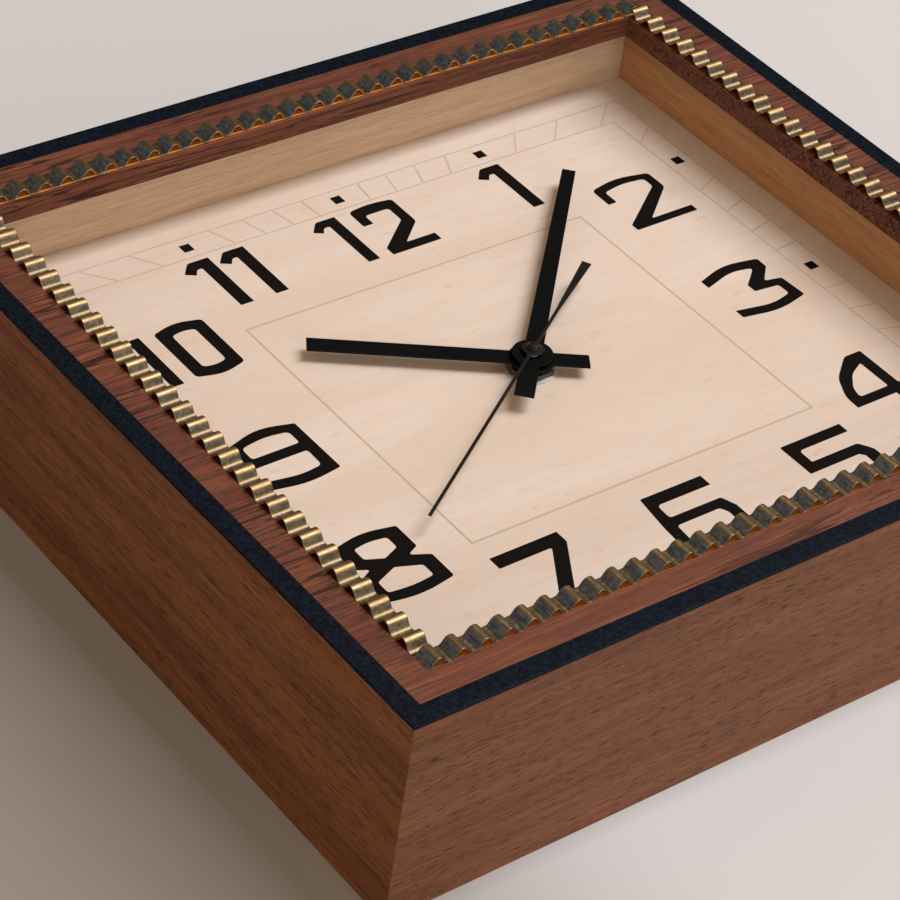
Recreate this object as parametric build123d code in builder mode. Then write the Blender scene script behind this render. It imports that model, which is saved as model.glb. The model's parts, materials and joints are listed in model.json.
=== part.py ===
from build123d import *
import math
import os

# Wooden desk clock, standing upright. Lengths in millimetres.
# X runs to the right seen from the front, Y from the dial to the back, Z up.
# The origin is the centre of the footprint, on the surface that the clock stands on.

os.makedirs("parts", exist_ok=True)

# Case of four mitred boards with black strips on their front edges
case_width = 225.0
case_height = 203.0
case_depth = 53.6
board_thickness = 5.0
edging_thickness = 0.6
edging_bevel = 0.2
cut_overrun = 2.0

# Front frame, with the ledge that carries the brass ribbon
rim_width = 7.0
front_frame_thickness = 6.2
rim_easing = 0.15
ribbon_seat_depth = 0.7

# Corrugated brass ribbon
ribbon_width = 5.3
ribbon_thickness = 0.35
ribbon_half_pitch = 2.95
ribbon_wave_height = 2.06
ribbon_fold_radius = 1.0
ribbon_side_clearance = 0.05
ribbon_seat_clearance = 0.02

# Glass, spacer walls, dial and rear rails, stacked behind the front frame
glass_thickness = 2.0
glass_clearance = 0.3
spacer_depth = 15.0
dial_board_thickness = 4.0
rail_width = 8.0

# Back panel
back_panel_thickness = 3.0
back_panel_recess = 2.0
back_panel_clearance = 0.2
panel_opening = 76.0
panel_opening_corner = 5.0

# Movement housing, middle plate and cover
movement_corner = 1.5
housing_wall = 1.3
housing_floor = 1.4
partition_wall = 1.0
chamber_wheel_room = 2.67
board_wheel_room = 0.2
ledge_width = 2.6
cover_thickness = 1.4
middle_plate_thickness = 0.8
plate_clearance = 0.1

# Threaded bush, washer and nut that clamp the movement to the dial
bush_radius = 4.0
bush_standout = 2.4
bush_clearance = 0.15
washer_radius = 6.0
washer_thickness = 0.4
nut_across_flats = 10.0
nut_thickness = 1.6
nut_chamfer = 0.3
thread_clearance = 0.03

# Hands
hand_thickness = 0.5
hour_hand_height = 2.8
hour_hand_length = 52.2
hour_hand_tail = 13.6
hour_hand_width = 4.7
hour_hub_radius = 5.6
minute_hand_height = 4.3
minute_hand_length = 78.5
minute_hand_tail = 16.8
minute_hand_tip_width = 3.4
minute_hand_tail_width = 4.7
minute_hub_radius = 4.9
second_hand_height = 5.7
second_hand_length = 68.0
second_hand_tail = 39.0
second_hand_width = 0.8
second_paddle_start = 17.0
second_paddle_width = 2.4
second_hand_thickness = 0.35
second_hub_radius = 2.6
second_cap_radius = 1.8
second_cap_height = 1.2
second_cap_chamfer = 0.8
hand_grip = 0.01
hand_standout = 0.2

# Hand angles at rest, in degrees clockwise from twelve
minute_hand_angle = 45.0
hour_hand_angle = 303.75
second_hand_angle = 237.6

# Gear train
wheel_thickness = 0.6
level_gap = 1.0
pinion_overhang = 0.4
arbor_radius = 0.5
pivot_depth = 0.7
running_clearance = 0.05
minute_tube_radius = 1.6
hour_tube_radius = 2.5
sleeve_clearance = 0.08
motion_distance = 9.0
third_distance = 9.0
drive_distance = 9.3

# Tooth form, as shares of the module and of the tooth's width at the pitch circle
root_clearance_share = 0.25
backlash_share = 0.10
wheel_addendum_share = 1.0
wheel_root_share = 1.6
pinion_addendum_share = 0.7
pinion_root_share = 1.2
pinion_tip_share = 0.4

# Stepping motor
motor_height = 24.0
motor_pinion_gap = 3.2
motor_lid_reach = 2.0
motor_lid_height = 8.0

# Setting knob at the back
knob_radius = 5.0
knob_length = 3.0
knob_rib_depth = 0.6
knob_gap = 0.4
knob_bore_depth = 1.6

# Circuit board and quartz crystal
board_length = 22.0
board_width = 6.6
circuit_board_thickness = 0.8
board_post_width = 2.0
chip_length = 5.0
chip_height = 1.0
crystal_radius = 1.0
crystal_length = 6.0

# Battery and its contacts
battery_radius = 7.25
battery_length = 49.2
battery_nub_radius = 2.7
battery_nub_length = 1.3
battery_clearance = 0.1
contact_thickness = 0.4
contact_bow = 2.5
contact_width = 8.0
contact_height = 10.0

# Tooth numbers, in the order driver then driven
motion_teeth = (10, 30)
hour_teeth = (6, 24)
third_teeth = (6, 45)
centre_teeth = (6, 48)
second_teeth = (6, 30)
largest_pinion_teeth = 10
knob_rib_count = 18
pivot_hole_sides = 12

# Places worked out from the sizes above
inner_width = case_width - 2 * board_thickness
inner_height = case_height - 2 * board_thickness
opening_width = inner_width - 2 * rim_width
opening_height = inner_height - 2 * rim_width
ribbon_seat_width = ribbon_width + 2 * ribbon_side_clearance
ribbon_height = ribbon_wave_height + ribbon_thickness
ribbon_standout = ribbon_height + ribbon_seat_clearance - ribbon_seat_depth
dial_centre_z = case_height / 2
front_y = ribbon_standout - (case_depth + ribbon_standout) / 2
back_y = front_y + case_depth
glass_y = front_y + front_frame_thickness
spacer_y = glass_y + glass_thickness
dial_y = spacer_y + spacer_depth
movement_y = dial_y + dial_board_thickness
movement_depth = housing_floor + battery_clearance + 2 * battery_radius
movement_back_y = movement_y + movement_depth
panel_back_y = back_y - back_panel_recess
panel_y = panel_back_y - back_panel_thickness
sides = ("top", "bottom", "left", "right")


def seen_from_front(y, x=0, z=dial_centre_z):
    """Plane at depth y that faces the front, with its origin at x, z."""
    return Plane(origin=(x, y, z), x_dir=(1, 0, 0), z_dir=(0, -1, 0))


def mitred_outline(side, width, height, band):
    """Corners of one mitred side of a rectangular band, seen from the front."""
    x_out, z_out = width / 2, height / 2
    x_in, z_in = x_out - band, z_out - band
    outlines = {
        "top": [(-x_out, z_out), (x_out, z_out), (x_in, z_in), (-x_in, z_in)],
        "bottom": [(-x_out, -z_out), (x_out, -z_out), (x_in, -z_in), (-x_in, -z_in)],
        "left": [(-x_out, -z_out), (-x_out, z_out), (-x_in, z_in), (-x_in, -z_in)],
        "right": [(x_out, -z_out), (x_out, z_out), (x_in, z_in), (x_in, -z_in)],
    }
    return outlines[side]


def butted_bar(side, width, height, band):
    """Centre and size of one side of a band whose uprights stand between its level bars."""
    level_size = (width, band)
    upright_size = (band, height - 2 * band)
    bars = {
        "top": ((0, (height - band) / 2), level_size),
        "bottom": ((0, (band - height) / 2), level_size),
        "left": (((band - width) / 2, 0), upright_size),
        "right": (((width - band) / 2, 0), upright_size),
    }
    return bars[side]


# Case boards: walnut, mitred at the corners, from the edging to the back
for side in sides:
    with BuildPart() as case_board:
        with BuildSketch(seen_from_front(back_y)):
            with BuildLine():
                Polyline(*mitred_outline(side, case_width, case_height, board_thickness), close=True)
            make_face()
        extrude(amount=case_depth - edging_thickness)
    case_board.part.label = f"case_{side}"
    export_step(case_board.part, f"parts/case_{side}.step")

# Edging: black strips glued on the boards' front edges, bevelled along the outside
for side in sides:
    with BuildPart() as edging:
        with BuildSketch(seen_from_front(front_y + edging_thickness)):
            with BuildLine():
                Polyline(*mitred_outline(side, case_width, case_height, board_thickness), close=True)
            make_face()
        extrude(amount=edging_thickness)
        front_face = edging.faces().sort_by(Axis.Y)[0]
        chamfer(front_face.edges().sort_by(SortBy.LENGTH)[-1], length=edging_bevel)
    edging.part.label = f"edging_{side}"
    export_step(edging.part, f"parts/edging_{side}.step")

# Front frame: a veneered plate, rebated around its opening for the ribbon
with BuildPart() as front_frame:
    with BuildSketch(seen_from_front(glass_y)):
        Rectangle(inner_width, inner_height)
        Rectangle(
            opening_width - 2 * ribbon_seat_width,
            opening_height - 2 * ribbon_seat_width,
            mode=Mode.SUBTRACT,
        )
    extrude(amount=front_frame_thickness)
    with BuildSketch(seen_from_front(front_y + ribbon_seat_depth)):
        Rectangle(opening_width, opening_height)
    extrude(amount=ribbon_seat_depth + cut_overrun, mode=Mode.SUBTRACT)
    rim_face = front_frame.faces().sort_by(Axis.Y)[0]
    chamfer(rim_face.inner_wires()[0].edges(), length=rim_easing)
front_frame.part.label = "front_frame"
export_step(front_frame.part, "parts/front_frame.step")


def fold_angle(half_pitch):
    """Slope of the ribbon's flanks, in radians, from its folds, pitch and wave height."""
    rise = ribbon_wave_height / 2 - ribbon_fold_radius
    run = half_pitch / 2
    return math.atan2(rise, run) + math.asin(ribbon_fold_radius / math.hypot(rise, run))


def ribbon_surface(half_waves, half_pitch, shift):
    """Points along the ribbon's surface that lies shift above its middle.

    A fold has two facets on its outside and one on its inside, and the strip
    starts at the bottom of a trough.
    """
    angle = fold_angle(half_pitch)
    lean, rise = math.sin(angle), math.cos(angle)
    points = []
    for number in range(half_waves + 1):
        turn = 1 if number % 2 else -1
        centre_x = number * half_pitch
        centre_y = turn * (ribbon_wave_height / 2 - ribbon_fold_radius)
        radius = ribbon_fold_radius + turn * shift
        at_end = number in (0, half_waves)
        if number > 0:
            points.append((centre_x - radius * lean, centre_y + turn * radius * rise))
        if at_end or turn * shift > 0:
            points.append((centre_x, centre_y + turn * radius))
        if number < half_waves:
            points.append((centre_x + radius * lean, centre_y + turn * radius * rise))
    return points


# Brass ribbon: level strips run from corner to corner, upright strips stand between them
ribbon_middle_y = front_y + ribbon_seat_depth - ribbon_seat_clearance - ribbon_height / 2
ribbon_reach_x = opening_width / 2 - ribbon_side_clearance
ribbon_reach_z = opening_height / 2 - ribbon_side_clearance
for side in sides:
    level = side in ("top", "bottom")
    if level:
        run_length = 2 * ribbon_reach_x
    else:
        run_length = 2 * (ribbon_reach_z - ribbon_seat_width)
    half_waves = max(2, round(run_length / ribbon_half_pitch))
    half_pitch = run_length / half_waves
    lower_z = dial_centre_z - ribbon_reach_z
    if level:
        top_edge_z = lower_z + ribbon_width if side == "bottom" else dial_centre_z + ribbon_reach_z
        ribbon_plane = Plane(
            origin=(-run_length / 2, ribbon_middle_y, top_edge_z), x_dir=(1, 0, 0), z_dir=(0, 0, -1)
        )
    else:
        left_edge_x = -ribbon_reach_x if side == "left" else ribbon_reach_x - ribbon_width
        ribbon_plane = Plane(
            origin=(left_edge_x, ribbon_middle_y, dial_centre_z - run_length / 2),
            x_dir=(0, 0, 1),
            z_dir=(1, 0, 0),
        )
    upper = ribbon_surface(half_waves, half_pitch, ribbon_thickness / 2)
    lower = ribbon_surface(half_waves, half_pitch, -ribbon_thickness / 2)
    with BuildPart() as ribbon:
        with BuildSketch(ribbon_plane):
            with BuildLine():
                Polyline(*upper, *reversed(lower), close=True)
            make_face()
        extrude(amount=ribbon_width)
    ribbon.part.label = f"ribbon_{side}"
    export_step(ribbon.part, f"parts/ribbon_{side}.step")

# Glass pane: held between the front frame and the spacer walls
with BuildPart() as glass_pane:
    with BuildSketch(seen_from_front(spacer_y)):
        Rectangle(inner_width - 2 * glass_clearance, inner_height - 2 * glass_clearance)
    extrude(amount=glass_thickness)
glass_pane.part.label = "glass_pane"
export_step(glass_pane.part, "parts/glass_pane.step")

# Spacer walls: maple, flush with the rim's inner edge, between the pane and the dial
for side in sides:
    bar_centre, bar_size = butted_bar(side, inner_width, inner_height, rim_width)
    with BuildPart() as spacer:
        with BuildSketch(seen_from_front(dial_y)):
            with Locations(bar_centre):
                Rectangle(*bar_size)
        extrude(amount=spacer_depth)
    spacer.part.label = f"spacer_{side}"
    export_step(spacer.part, f"parts/spacer_{side}.step")

# Dial board: veneered board with a hole for the threaded bush
with BuildPart() as dial_board:
    with BuildSketch(seen_from_front(movement_y)):
        Rectangle(inner_width - 2 * glass_clearance, inner_height - 2 * glass_clearance)
        Circle(bush_radius + bush_clearance, mode=Mode.SUBTRACT)
    extrude(amount=dial_board_thickness)
dial_board.part.label = "dial_board"
export_step(dial_board.part, "parts/dial_board.step")

# Rear rails: glued inside the case behind the dial
for side in sides:
    bar_centre, bar_size = butted_bar(side, inner_width, inner_height, rail_width)
    with BuildPart() as rail:
        with BuildSketch(seen_from_front(panel_y)):
            with Locations(bar_centre):
                Rectangle(*bar_size)
        extrude(amount=panel_y - movement_y)
    rail.part.label = f"rail_{side}"
    export_step(rail.part, f"parts/rail_{side}.step")

# Back panel: set in behind the rails, open in the middle to reach the battery and the knob
with BuildPart() as back_panel:
    with BuildSketch(seen_from_front(panel_back_y)):
        Rectangle(inner_width - 2 * back_panel_clearance, inner_height - 2 * back_panel_clearance)
        RectangleRounded(panel_opening, panel_opening, panel_opening_corner, mode=Mode.SUBTRACT)
    extrude(amount=back_panel_thickness)
back_panel.part.label = "back_panel"
export_step(back_panel.part, "parts/back_panel.step")

# Levels of the gear train, one behind another from the housing's floor to the cover
floor_back_y = movement_y + housing_floor
hour_level = floor_back_y + level_gap
minute_level = hour_level + wheel_thickness + level_gap
plate_y = minute_level + wheel_thickness + level_gap
plate_back_y = plate_y + middle_plate_thickness
centre_level = plate_back_y + level_gap
third_level = centre_level + wheel_thickness + level_gap
second_level = third_level + wheel_thickness + level_gap
cover_y = movement_back_y - cover_thickness
pivot_end_y = cover_y + pivot_depth - running_clearance

# Arbor places, in the plane of the dial and counted from its centre
minute_wheel_place = (-motion_distance, 0)
third_place = (0, third_distance)
drive_place = (drive_distance, 0)

# Gear modules, from each pair's centre distance
motion_module = 2 * motion_distance / sum(motion_teeth)
hour_module = 2 * motion_distance / sum(hour_teeth)
third_module = 2 * third_distance / sum(third_teeth)
centre_module = 2 * third_distance / sum(centre_teeth)
second_module = 2 * drive_distance / sum(second_teeth)
centre_wheel_radius = centre_module * (centre_teeth[1] / 2 + wheel_addendum_share)
third_wheel_radius = third_module * (third_teeth[1] / 2 + wheel_addendum_share)

# Gear chamber above the battery bay, as heights counted from the dial's centre
bay_height = 2 * (battery_radius + battery_clearance)
chamber_bottom = -(centre_wheel_radius + chamber_wheel_room)
board_bottom = third_distance + third_wheel_radius + board_wheel_room
chamber_top = board_bottom + board_width + ledge_width
chamber_height = chamber_top - chamber_bottom
chamber_middle = (chamber_top + chamber_bottom) / 2
bay_top = chamber_bottom - partition_wall
bay_middle = bay_top - bay_height / 2
housing_top = chamber_top + housing_wall
housing_height = housing_top - bay_top + bay_height + housing_wall
housing_middle = housing_top - housing_height / 2
cavity_width = contact_bow + battery_length + battery_nub_length + contact_thickness
movement_width = cavity_width + 2 * housing_wall
cover_height = housing_top - bay_top
cover_middle = (housing_top + bay_top) / 2
ledge_x = (cavity_width - ledge_width) / 2
ledge_z = (chamber_height - ledge_width) / 2


def disc(y, place, radius, length, mode=Mode.ADD):
    """Cylinder of the given length whose front face lies at y."""
    with BuildSketch(seen_from_front(y + length)) as outline:
        with Locations(place):
            Circle(radius)
    extrude(outline.sketch, amount=length, mode=mode)


def plate(y, middle, width, height, length, mode=Mode.ADD):
    """Rectangular block of the given depth whose front face lies at y."""
    with BuildSketch(seen_from_front(y + length)) as outline:
        with Locations(middle):
            Rectangle(width, height)
    extrude(outline.sketch, amount=length, mode=mode)


def pivot_hole(y, place, length):
    """Running hole for an arbor of the train, with flats that clear the arbor."""
    with BuildSketch(seen_from_front(y + length)) as outline:
        with Locations(place):
            RegularPolygon(arbor_radius + running_clearance, pivot_hole_sides, major_radius=False)
    extrude(outline.sketch, amount=length, mode=Mode.SUBTRACT)


# Movement housing: moulded tray with the threaded bush, battery bay and gear chamber
with BuildPart() as movement_housing:
    plate(movement_y, (0, housing_middle), movement_width, housing_height, movement_depth)
    chamfer(movement_housing.edges().filter_by(Axis.Y), length=movement_corner)
    cavity_depth = movement_depth - housing_floor
    for cavity_middle, cavity_height in ((chamber_middle, chamber_height), (bay_middle, bay_height)):
        plate(
            floor_back_y, (0, cavity_middle), cavity_width, cavity_height,
            cavity_depth + cut_overrun, mode=Mode.SUBTRACT,
        )
    plate(
        cover_y, (0, cover_middle + cut_overrun / 2), movement_width + 2 * cut_overrun,
        cover_height + cut_overrun, cover_thickness + cut_overrun, mode=Mode.SUBTRACT,
    )
    for ledge_side, ledge_level in ((-1, -1), (-1, 1), (1, -1), (1, 1)):
        plate(
            floor_back_y, (ledge_side * ledge_x, chamber_middle + ledge_level * ledge_z),
            ledge_width, ledge_width, plate_y - floor_back_y,
        )
    bush_length = dial_board_thickness + bush_standout
    disc(movement_y - bush_length, (0, 0), bush_radius, bush_length)
    disc(
        movement_y - bush_length - cut_overrun, (0, 0), hour_tube_radius + sleeve_clearance,
        bush_length + housing_floor + 2 * cut_overrun, mode=Mode.SUBTRACT,
    )
    pivot_hole(floor_back_y - pivot_depth, minute_wheel_place, pivot_depth)
movement_housing.part.label = "movement_housing"
export_step(movement_housing.part, "parts/movement_housing.step")

# Circuit board place: above the third wheel, held off the middle plate by two posts
board_place = (
    -cavity_width / 2 + plate_clearance + board_length / 2,
    board_bottom + board_width / 2,
)
board_y = second_level
board_post_x = (board_length - board_post_width) / 2

# Middle plate: carries the front pivots of the train and the circuit board's posts
with BuildPart() as middle_plate:
    plate(
        plate_y, (0, chamber_middle), cavity_width - 2 * plate_clearance,
        chamber_height - 2 * plate_clearance, middle_plate_thickness,
    )
    for post_side in (-1, 1):
        board_post = (board_place[0] + post_side * board_post_x, board_place[1])
        plate(
            plate_back_y, board_post, board_post_width, board_post_width, board_y - plate_back_y,
        )
    hole_front = plate_y - cut_overrun
    hole_length = middle_plate_thickness + 2 * cut_overrun
    disc(hole_front, (0, 0), minute_tube_radius + sleeve_clearance, hole_length, mode=Mode.SUBTRACT)
    for hole_place in (minute_wheel_place, third_place, drive_place):
        pivot_hole(hole_front, hole_place, hole_length)
middle_plate.part.label = "middle_plate"
export_step(middle_plate.part, "parts/middle_plate.step")

# Movement cover: closes the gear chamber and holds the rear pivots
with BuildPart() as movement_cover:
    plate(cover_y, (0, cover_middle), movement_width, cover_height, cover_thickness)
    upright_edges = movement_cover.edges().filter_by(Axis.Y).sort_by(Axis.Z)
    chamfer(upright_edges[-2:], length=movement_corner)
    pivot_hole(cover_y - cut_overrun, minute_wheel_place, cover_thickness + 2 * cut_overrun)
    for pivot_place in ((0, 0), third_place):
        pivot_hole(cover_y, pivot_place, pivot_depth)
movement_cover.part.label = "movement_cover"
export_step(movement_cover.part, "parts/movement_cover.step")

# Washer and nut: clamp the dial against the housing
with BuildPart() as shaft_washer:
    washer_y = dial_y - washer_thickness
    disc(washer_y, (0, 0), washer_radius, washer_thickness)
    disc(
        washer_y - cut_overrun, (0, 0), bush_radius + thread_clearance,
        washer_thickness + 2 * cut_overrun, mode=Mode.SUBTRACT,
    )
shaft_washer.part.label = "shaft_washer"
export_step(shaft_washer.part, "parts/shaft_washer.step")

with BuildPart() as shaft_nut:
    nut_y = washer_y - nut_thickness
    with BuildSketch(seen_from_front(washer_y)):
        RegularPolygon(nut_across_flats / 2, 6, major_radius=False)
    extrude(amount=nut_thickness)
    chamfer(shaft_nut.faces().sort_by(Axis.Y)[0].edges(), length=nut_chamfer)
    disc(
        nut_y - cut_overrun, (0, 0), bush_radius + thread_clearance,
        nut_thickness + 2 * cut_overrun, mode=Mode.SUBTRACT,
    )
shaft_nut.part.label = "shaft_nut"
export_step(shaft_nut.part, "parts/shaft_nut.step")


def gear_outline(teeth, module, turn):
    """Points of a clock gear: a wheel's teeth come to a point, a pinion's leaves are flat-topped.

    The first tooth points turn degrees from the local X axis.
    """
    is_pinion = teeth <= largest_pinion_teeth
    addendum_share = pinion_addendum_share if is_pinion else wheel_addendum_share
    root_share = pinion_root_share if is_pinion else wheel_root_share
    pitch_radius = teeth * module / 2
    root_radius = pitch_radius - module * (1 + root_clearance_share)
    tip_radius = pitch_radius + module * addendum_share
    half_tooth = math.pi / (2 * teeth) * (1 - backlash_share)
    flanks = [(root_radius, -root_share), (tip_radius, 0), (root_radius, root_share)]
    if is_pinion:
        flanks[1:2] = [(tip_radius, -pinion_tip_share), (tip_radius, pinion_tip_share)]
    points = []
    for number in range(teeth):
        middle = math.radians(turn) + 2 * math.pi * number / teeth
        for radius, share in flanks:
            angle = middle + half_tooth * share
            points.append((radius * math.cos(angle), radius * math.sin(angle)))
    return points


def mesh_turn(driver_turn, driver_teeth, direction, driven_teeth):
    """Turn that sets a gear in mesh with a driver that lies in the opposite direction."""
    lead = (direction - driver_turn) * driver_teeth / driven_teeth
    return direction + 180 + lead + 180 / driven_teeth


def gear(y, place, teeth, module, turn, length):
    """Toothed disc whose front face lies at y."""
    gear_plane = seen_from_front(y + length, place[0], dial_centre_z + place[1])
    with BuildSketch(gear_plane) as outline:
        with BuildLine():
            Polyline(*gear_outline(teeth, module, turn), close=True)
        make_face()
    extrude(outline.sketch, amount=length)


def pinion(level, wheel_level, place, teeth, module, turn):
    """Pinion from just in front of its mate's level back to the wheel on its own arbor."""
    gear(level - pinion_overhang, place, teeth, module, turn, wheel_level - level + pinion_overhang)


# Minute pinion: tube that carries the minute hand, driven by friction from the centre wheel
minute_tube_front = dial_y - minute_hand_height - hand_thickness - hand_standout
minute_tube_back = centre_level + wheel_thickness + level_gap / 2
with BuildPart() as minute_pinion:
    disc(minute_tube_front, (0, 0), minute_tube_radius, minute_tube_back - minute_tube_front)
    gear(
        minute_level - pinion_overhang, (0, 0), motion_teeth[0], motion_module, 180,
        wheel_thickness + 2 * pinion_overhang,
    )
    disc(
        minute_tube_front - cut_overrun, (0, 0), arbor_radius + sleeve_clearance,
        minute_tube_back - minute_tube_front + 2 * cut_overrun, mode=Mode.SUBTRACT,
    )
minute_pinion.part.label = "minute_pinion"
export_step(minute_pinion.part, "parts/minute_pinion.step")

# Minute wheel: idler between the minute pinion and the hour wheel, its arbor reaching the knob
knob_y = movement_back_y + knob_gap
minute_wheel_turn = mesh_turn(180, motion_teeth[0], 180, motion_teeth[1])
hour_pinion_turn = 0
with BuildPart() as minute_wheel:
    arbor_front = floor_back_y - pivot_depth + running_clearance
    disc(arbor_front, minute_wheel_place, arbor_radius, knob_y + knob_bore_depth - arbor_front)
    gear(
        minute_level, minute_wheel_place, motion_teeth[1], motion_module,
        minute_wheel_turn, wheel_thickness,
    )
    pinion(hour_level, minute_level, minute_wheel_place, hour_teeth[0], hour_module, hour_pinion_turn)
minute_wheel.part.label = "minute_wheel"
export_step(minute_wheel.part, "parts/minute_wheel.step")

# Hour wheel: with the tube that carries the hour hand, running inside the bush
hour_tube_front = dial_y - hour_hand_height - hand_thickness - hand_standout
with BuildPart() as hour_wheel:
    gear(
        hour_level, (0, 0), hour_teeth[1], hour_module,
        mesh_turn(hour_pinion_turn, hour_teeth[0], 0, hour_teeth[1]), wheel_thickness,
    )
    disc(hour_tube_front, (0, 0), hour_tube_radius, hour_level - hour_tube_front)
    disc(
        hour_tube_front - cut_overrun, (0, 0), minute_tube_radius + sleeve_clearance,
        hour_level + wheel_thickness - hour_tube_front + 2 * cut_overrun, mode=Mode.SUBTRACT,
    )
hour_wheel.part.label = "hour_wheel"
export_step(hour_wheel.part, "parts/hour_wheel.step")

# Setting knob: ribbed head pressed on the minute wheel's arbor, behind the cover
rib_points = []
for number in range(2 * knob_rib_count):
    rib_angle = math.pi * number / knob_rib_count
    rib_radius = knob_radius - knob_rib_depth * (number % 2)
    rib_points.append((rib_radius * math.cos(rib_angle), rib_radius * math.sin(rib_angle)))
with BuildPart() as setting_knob:
    with BuildSketch(seen_from_front(knob_y + knob_length, minute_wheel_place[0])):
        with BuildLine():
            Polyline(*rib_points, close=True)
        make_face()
    extrude(amount=knob_length)
    disc(
        knob_y - cut_overrun, minute_wheel_place, arbor_radius + hand_grip,
        cut_overrun + knob_bore_depth, mode=Mode.SUBTRACT,
    )
setting_knob.part.label = "setting_knob"
export_step(setting_knob.part, "parts/setting_knob.step")

# Centre wheel: turns once an hour round the minute pinion's tube
third_pinion_turn = 0
with BuildPart() as centre_wheel:
    gear(
        centre_level, (0, 0), centre_teeth[1], centre_module,
        mesh_turn(third_pinion_turn, centre_teeth[0], -90, centre_teeth[1]), wheel_thickness,
    )
    disc(
        centre_level - cut_overrun, (0, 0), minute_tube_radius + sleeve_clearance,
        wheel_thickness + 2 * cut_overrun, mode=Mode.SUBTRACT,
    )
centre_wheel.part.label = "centre_wheel"
export_step(centre_wheel.part, "parts/centre_wheel.step")

# Third wheel: between the second wheel's pinion and the centre wheel
second_pinion_turn = 90
with BuildPart() as third_wheel:
    disc(plate_y, third_place, arbor_radius, pivot_end_y - plate_y)
    gear(
        third_level, third_place, third_teeth[1], third_module,
        mesh_turn(second_pinion_turn, third_teeth[0], 90, third_teeth[1]), wheel_thickness,
    )
    pinion(
        centre_level, third_level, third_place, centre_teeth[0], centre_module, third_pinion_turn,
    )
third_wheel.part.label = "third_wheel"
export_step(third_wheel.part, "parts/third_wheel.step")

# Second wheel: its arbor runs through the minute tube to the second hand
second_hand_y = dial_y - second_hand_height - second_hand_thickness
drive_pinion_turn = 0
with BuildPart() as second_wheel:
    disc(second_hand_y, (0, 0), arbor_radius, pivot_end_y - second_hand_y)
    gear(
        second_level, (0, 0), second_teeth[1], second_module,
        mesh_turn(drive_pinion_turn, second_teeth[0], 180, second_teeth[1]), wheel_thickness,
    )
    pinion(third_level, second_level, (0, 0), third_teeth[0], third_module, second_pinion_turn)
second_wheel.part.label = "second_wheel"
export_step(second_wheel.part, "parts/second_wheel.step")

# Motor block: closed stepping motor, its lid reaching over the drive pinion's rear pivot
motor_y = plate_back_y + plate_clearance
motor_back_y = cover_y - plate_clearance
motor_lid_y = second_level + wheel_thickness + level_gap
motor_right = cavity_width / 2 - plate_clearance
motor_left = drive_place[0] + motor_pinion_gap
lid_left = drive_place[0] - motor_lid_reach
with BuildPart() as motor_block:
    plate(
        motor_y, ((motor_left + motor_right) / 2, motor_height / 4),
        motor_right - motor_left, motor_height, motor_back_y - motor_y,
    )
    plate(
        motor_lid_y, ((lid_left + motor_left) / 2, 0),
        motor_left - lid_left, motor_lid_height, motor_back_y - motor_lid_y,
    )
    pivot_hole(motor_lid_y, drive_place, pivot_depth)
motor_block.part.label = "motor_block"
export_step(motor_block.part, "parts/motor_block.step")

# Drive pinion: takes the motor's steps to the second wheel
with BuildPart() as drive_pinion:
    drive_front = second_level - pinion_overhang
    disc(plate_y, drive_place, arbor_radius, motor_lid_y + pivot_depth - running_clearance - plate_y)
    gear(
        drive_front, drive_place, second_teeth[0], second_module, drive_pinion_turn,
        wheel_thickness + 2 * pinion_overhang,
    )
drive_pinion.part.label = "drive_pinion"
export_step(drive_pinion.part, "parts/drive_pinion.step")

# Circuit board with its chip, and the quartz crystal's can beside the chip
with BuildPart() as circuit_board:
    plate(board_y, board_place, board_length, board_width, circuit_board_thickness)
    chip_place = (board_place[0] + board_length / 4, board_place[1])
    plate(board_y + circuit_board_thickness, chip_place, chip_length, chip_length, chip_height)
circuit_board.part.label = "circuit_board"
export_step(circuit_board.part, "parts/circuit_board.step")

with BuildPart() as quartz_crystal:
    crystal_centre_y = board_y + circuit_board_thickness + crystal_radius
    crystal_end_x = board_place[0] - board_length / 4 - crystal_length / 2
    with BuildSketch(Plane(
        origin=(crystal_end_x, crystal_centre_y, dial_centre_z + board_place[1]), z_dir=(1, 0, 0)
    )):
        Circle(crystal_radius)
    extrude(amount=crystal_length)
quartz_crystal.part.label = "quartz_crystal"
export_step(quartz_crystal.part, "parts/quartz_crystal.step")

# Battery: cylindrical cell with its raised positive end to the right
battery_centre_y = floor_back_y + battery_clearance + battery_radius
battery_nub_end = cavity_width / 2 - contact_thickness
battery_right = battery_nub_end - battery_nub_length
battery_left = battery_right - battery_length
battery_axis = Plane(
    origin=(0, battery_centre_y, dial_centre_z + bay_middle), x_dir=(1, 0, 0), z_dir=(0, -1, 0)
)
with BuildPart() as battery:
    with BuildSketch(battery_axis):
        with BuildLine():
            Polyline(
                (battery_left, 0),
                (battery_left, battery_radius),
                (battery_right, battery_radius),
                (battery_right, battery_nub_radius),
                (battery_nub_end, battery_nub_radius),
                (battery_nub_end, 0),
                close=True,
            )
        make_face()
    revolve(axis=Axis((0, battery_centre_y, dial_centre_z + bay_middle), (1, 0, 0)))
battery.part.label = "battery"
export_step(battery.part, "parts/battery.step")

# Battery contacts: a flat plate at the positive end, a bowed leaf at the other
with BuildPart() as battery_contact_plus:
    plate(
        battery_centre_y - contact_width / 2, (battery_nub_end + contact_thickness / 2, bay_middle),
        contact_thickness, contact_height, contact_width,
    )
battery_contact_plus.part.label = "battery_contact_plus"
export_step(battery_contact_plus.part, "parts/battery_contact_plus.step")

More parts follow.
